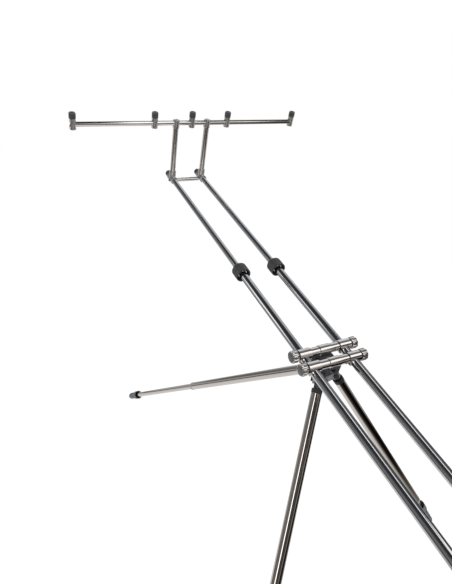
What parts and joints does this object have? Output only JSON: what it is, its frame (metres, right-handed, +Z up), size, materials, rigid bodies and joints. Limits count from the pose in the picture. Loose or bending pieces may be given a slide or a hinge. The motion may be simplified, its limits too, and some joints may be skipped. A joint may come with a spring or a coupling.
{
  "type": "rod pod",
  "caption": "Tripod rod pod with twin telescopic rails held in a tilting head, and a raised bar with threaded sockets for bite alarms at each end.",
  "frame": {"origin": "on the ground, under the middle of the pod's extents", "axes": "+Z up, +Y towards the raised front of the rails, +X to the right seen from behind, along the rod bars"},
  "size_m": [0.8426, 1.734, 1.254],
  "materials": {
    "polished_steel": "polished stainless tube",
    "bright_steel": "bright turned steel",
    "black_plastic": "black, slightly rough",
    "grey_casting": "grey die casting",
    "grey_rubber": "dark grey-green rubber",
    "brass_pad": "turned brass"
  },
  "bodies": {
    "hub": {"hub_casting": "grey_casting", "centre_column": "black_plastic", "hub_bolts": "black_plastic"},
    "head": {"tilt_block": "black_plastic", "block_screws": "bright_steel", "clamp_bar_front": "polished_steel", "clamp_bar_rear": "polished_steel", "clamp_sleeves": "polished_steel", "clamp_pads": "brass_pad", "clamp_washers": "black_plastic"},
    "tilt_lock": {"tilt_knob": "black_plastic"},
    "clamp_front_left": {"clamp_knob_front_left": "bright_steel"},
    "clamp_front_right": {"clamp_knob_front_right": "bright_steel"},
    "clamp_rear_left": {"clamp_knob_rear_left": "bright_steel"},
    "clamp_rear_right": {"clamp_knob_rear_right": "bright_steel"},
    "rails": {"outer_rails": "polished_steel", "rear_elbows": "polished_steel", "rear_brace": "polished_steel", "rear_posts": "polished_steel", "rear_tees": "polished_steel", "rear_rod_bar": "polished_steel", "rear_socket_barrels": "bright_steel", "rear_socket_collars": "black_plastic"},
    "collar_left": {"rail_collar_left": "black_plastic"},
    "collar_right": {"rail_collar_right": "black_plastic"},
    "front_frame": {"inner_rails": "polished_steel", "front_elbows": "polished_steel", "front_brace": "polished_steel", "front_screws": "black_plastic", "front_posts": "polished_steel", "front_tees": "polished_steel"},
    "end_knob_left": {"elbow_knob_left": "black_plastic"},
    "end_knob_right": {"elbow_knob_right": "black_plastic"},
    "rod_bar": {"front_rod_bar": "polished_steel", "end_socket_barrels": "bright_steel", "end_socket_collars": "black_plastic"},
    "socket_left": {"socket_barrel_left": "bright_steel", "socket_collar_left": "black_plastic"},
    "socket_middle": {"socket_barrel_middle": "bright_steel", "socket_collar_middle": "black_plastic"},
    "socket_right": {"socket_barrel_right": "bright_steel", "socket_collar_right": "black_plastic"},
    "front_leg": {"front_leg_knuckle": "black_plastic", "front_leg_tube": "polished_steel", "front_leg_ring": "grey_casting"},
    "front_leg_lower": {"front_leg_inner": "polished_steel", "front_leg_spike": "bright_steel"},
    "front_foot": {"front_leg_boot": "grey_rubber"},
    "left_leg": {"left_leg_knuckle": "black_plastic", "left_leg_tube": "polished_steel", "left_leg_ring": "grey_casting"},
    "left_leg_lower": {"left_leg_inner": "polished_steel", "left_leg_spike": "bright_steel"},
    "left_foot": {"left_leg_boot": "grey_rubber"},
    "right_leg": {"right_leg_knuckle": "black_plastic", "right_leg_tube": "polished_steel", "right_leg_ring": "grey_casting"},
    "right_leg_lower": {"right_leg_inner": "polished_steel", "right_leg_spike": "bright_steel"},
    "right_foot": {"right_leg_boot": "grey_rubber"}
  },
  "joints": [
    {"name": "head_tilt", "type": "hinge", "parent": "hub", "child": "head", "pos_m": [0, -0.26213, 0.65356], "axis": [1, 0, 0], "range_deg": [-30, 10]},
    {"name": "tilt_knob_turn", "type": "hinge", "parent": "head", "child": "tilt_lock", "pos_m": [0, -0.26213, 0.65356], "axis": [1, 0, 0], "range_deg": [0, 360]},
    {"name": "clamp_turn_front_left", "type": "hinge", "parent": "head", "child": "clamp_front_left", "pos_m": [-0.0585, -0.26009, 0.68283], "axis": [1, 0, 0], "range_deg": [0, 360]},
    {"name": "clamp_turn_front_right", "type": "hinge", "parent": "head", "child": "clamp_front_right", "pos_m": [0.0585, -0.26009, 0.68283], "axis": [1, 0, 0], "range_deg": [0, 360]},
    {"name": "clamp_turn_rear_left", "type": "hinge", "parent": "head", "child": "clamp_rear_left", "pos_m": [-0.0585, -0.29967, 0.66764], "axis": [1, 0, 0], "range_deg": [0, 360]},
    {"name": "clamp_turn_rear_right", "type": "hinge", "parent": "head", "child": "clamp_rear_right", "pos_m": [0.0585, -0.29967, 0.66764], "axis": [1, 0, 0], "range_deg": [0, 360]},
    {"name": "rails_slide", "type": "slide", "parent": "head", "child": "rails", "axis": [0, 0.9336, 0.3584], "range_m": [-0.31, 0.5]},
    {"name": "collar_turn_left", "type": "hinge", "parent": "rails", "child": "collar_left", "pos_m": [-0.0585, 0.07071, 0.80275], "axis": [0, 0.9336, 0.3584], "range_deg": [0, 90]},
    {"name": "collar_turn_right", "type": "hinge", "parent": "rails", "child": "collar_right", "pos_m": [0.0585, 0.07071, 0.80275], "axis": [0, 0.9336, 0.3584], "range_deg": [0, 90]},
    {"name": "front_telescope", "type": "slide", "parent": "rails", "child": "front_frame", "axis": [0, 0.9336, 0.3584], "range_m": [-0.555, 0.04]},
    {"name": "end_knob_turn_left", "type": "hinge", "parent": "front_frame", "child": "end_knob_left", "pos_m": [-0.0585, 0.6346, 1.0192], "axis": [0, 0.9336, 0.3584], "range_deg": [0, 360]},
    {"name": "end_knob_turn_right", "type": "hinge", "parent": "front_frame", "child": "end_knob_right", "pos_m": [0.0585, 0.6346, 1.0192], "axis": [0, 0.9336, 0.3584], "range_deg": [0, 360]},
    {"name": "rod_bar_roll", "type": "hinge", "parent": "front_frame", "child": "rod_bar", "pos_m": [0, 0.5597, 1.21432], "axis": [1, 0, 0], "range_deg": [-60, 60]},
    {"name": "socket_left_slide", "type": "slide", "parent": "rod_bar", "child": "socket_left", "axis": [1, 0, 0], "range_m": [-0.245, 0.052]},
    {"name": "socket_middle_slide", "type": "slide", "parent": "rod_bar", "child": "socket_middle", "axis": [1, 0, 0], "range_m": [-0.034, 0.034]},
    {"name": "socket_right_slide", "type": "slide", "parent": "rod_bar", "child": "socket_right", "axis": [1, 0, 0], "range_m": [-0.052, 0.245]},
    {"name": "front_leg_fold", "type": "hinge", "parent": "hub", "child": "front_leg", "pos_m": [-0.00731, -0.2269, 0.61953], "axis": [0.9736, 0.2269, 0.0259], "range_deg": [-50, 24]},
    {"name": "front_leg_telescope", "type": "slide", "parent": "front_leg", "child": "front_leg_lower", "axis": [-0.1864, 0.8549, -0.4842], "range_m": [-0.524, 0]},
    {"name": "front_boot_slide", "type": "slide", "parent": "front_leg_lower", "child": "front_foot", "axis": [-0.1864, 0.8549, -0.4842], "range_m": [0, 0.012]},
    {"name": "left_leg_fold", "type": "hinge", "parent": "hub", "child": "left_leg", "pos_m": [-0.02333, -0.27962, 0.61352], "axis": [-0.6845, 0.7243, 0.0825], "range_deg": [-30, 44]},
    {"name": "left_leg_telescope", "type": "slide", "parent": "left_leg", "child": "left_leg_lower", "axis": [-0.4264, -0.306, -0.8512], "range_m": [-0.018, 0.435]},
    {"name": "left_boot_slide", "type": "slide", "parent": "left_leg_lower", "child": "left_foot", "axis": [-0.4264, -0.306, -0.8512], "range_m": [0, 0.012]},
    {"name": "right_leg_fold", "type": "hinge", "parent": "hub", "child": "right_leg", "pos_m": [0.03063, -0.26704, 0.61495], "axis": [-0.289, -0.9512, -0.1084], "range_deg": [-30, 44]},
    {"name": "right_leg_telescope", "type": "slide", "parent": "right_leg", "child": "right_leg_lower", "axis": [0.5312, -0.0652, -0.8448], "range_m": [-0.025, 0.428]},
    {"name": "right_boot_slide", "type": "slide", "parent": "right_leg_lower", "child": "right_foot", "axis": [0.5312, -0.0652, -0.8448], "range_m": [0, 0.012]}
  ]
}
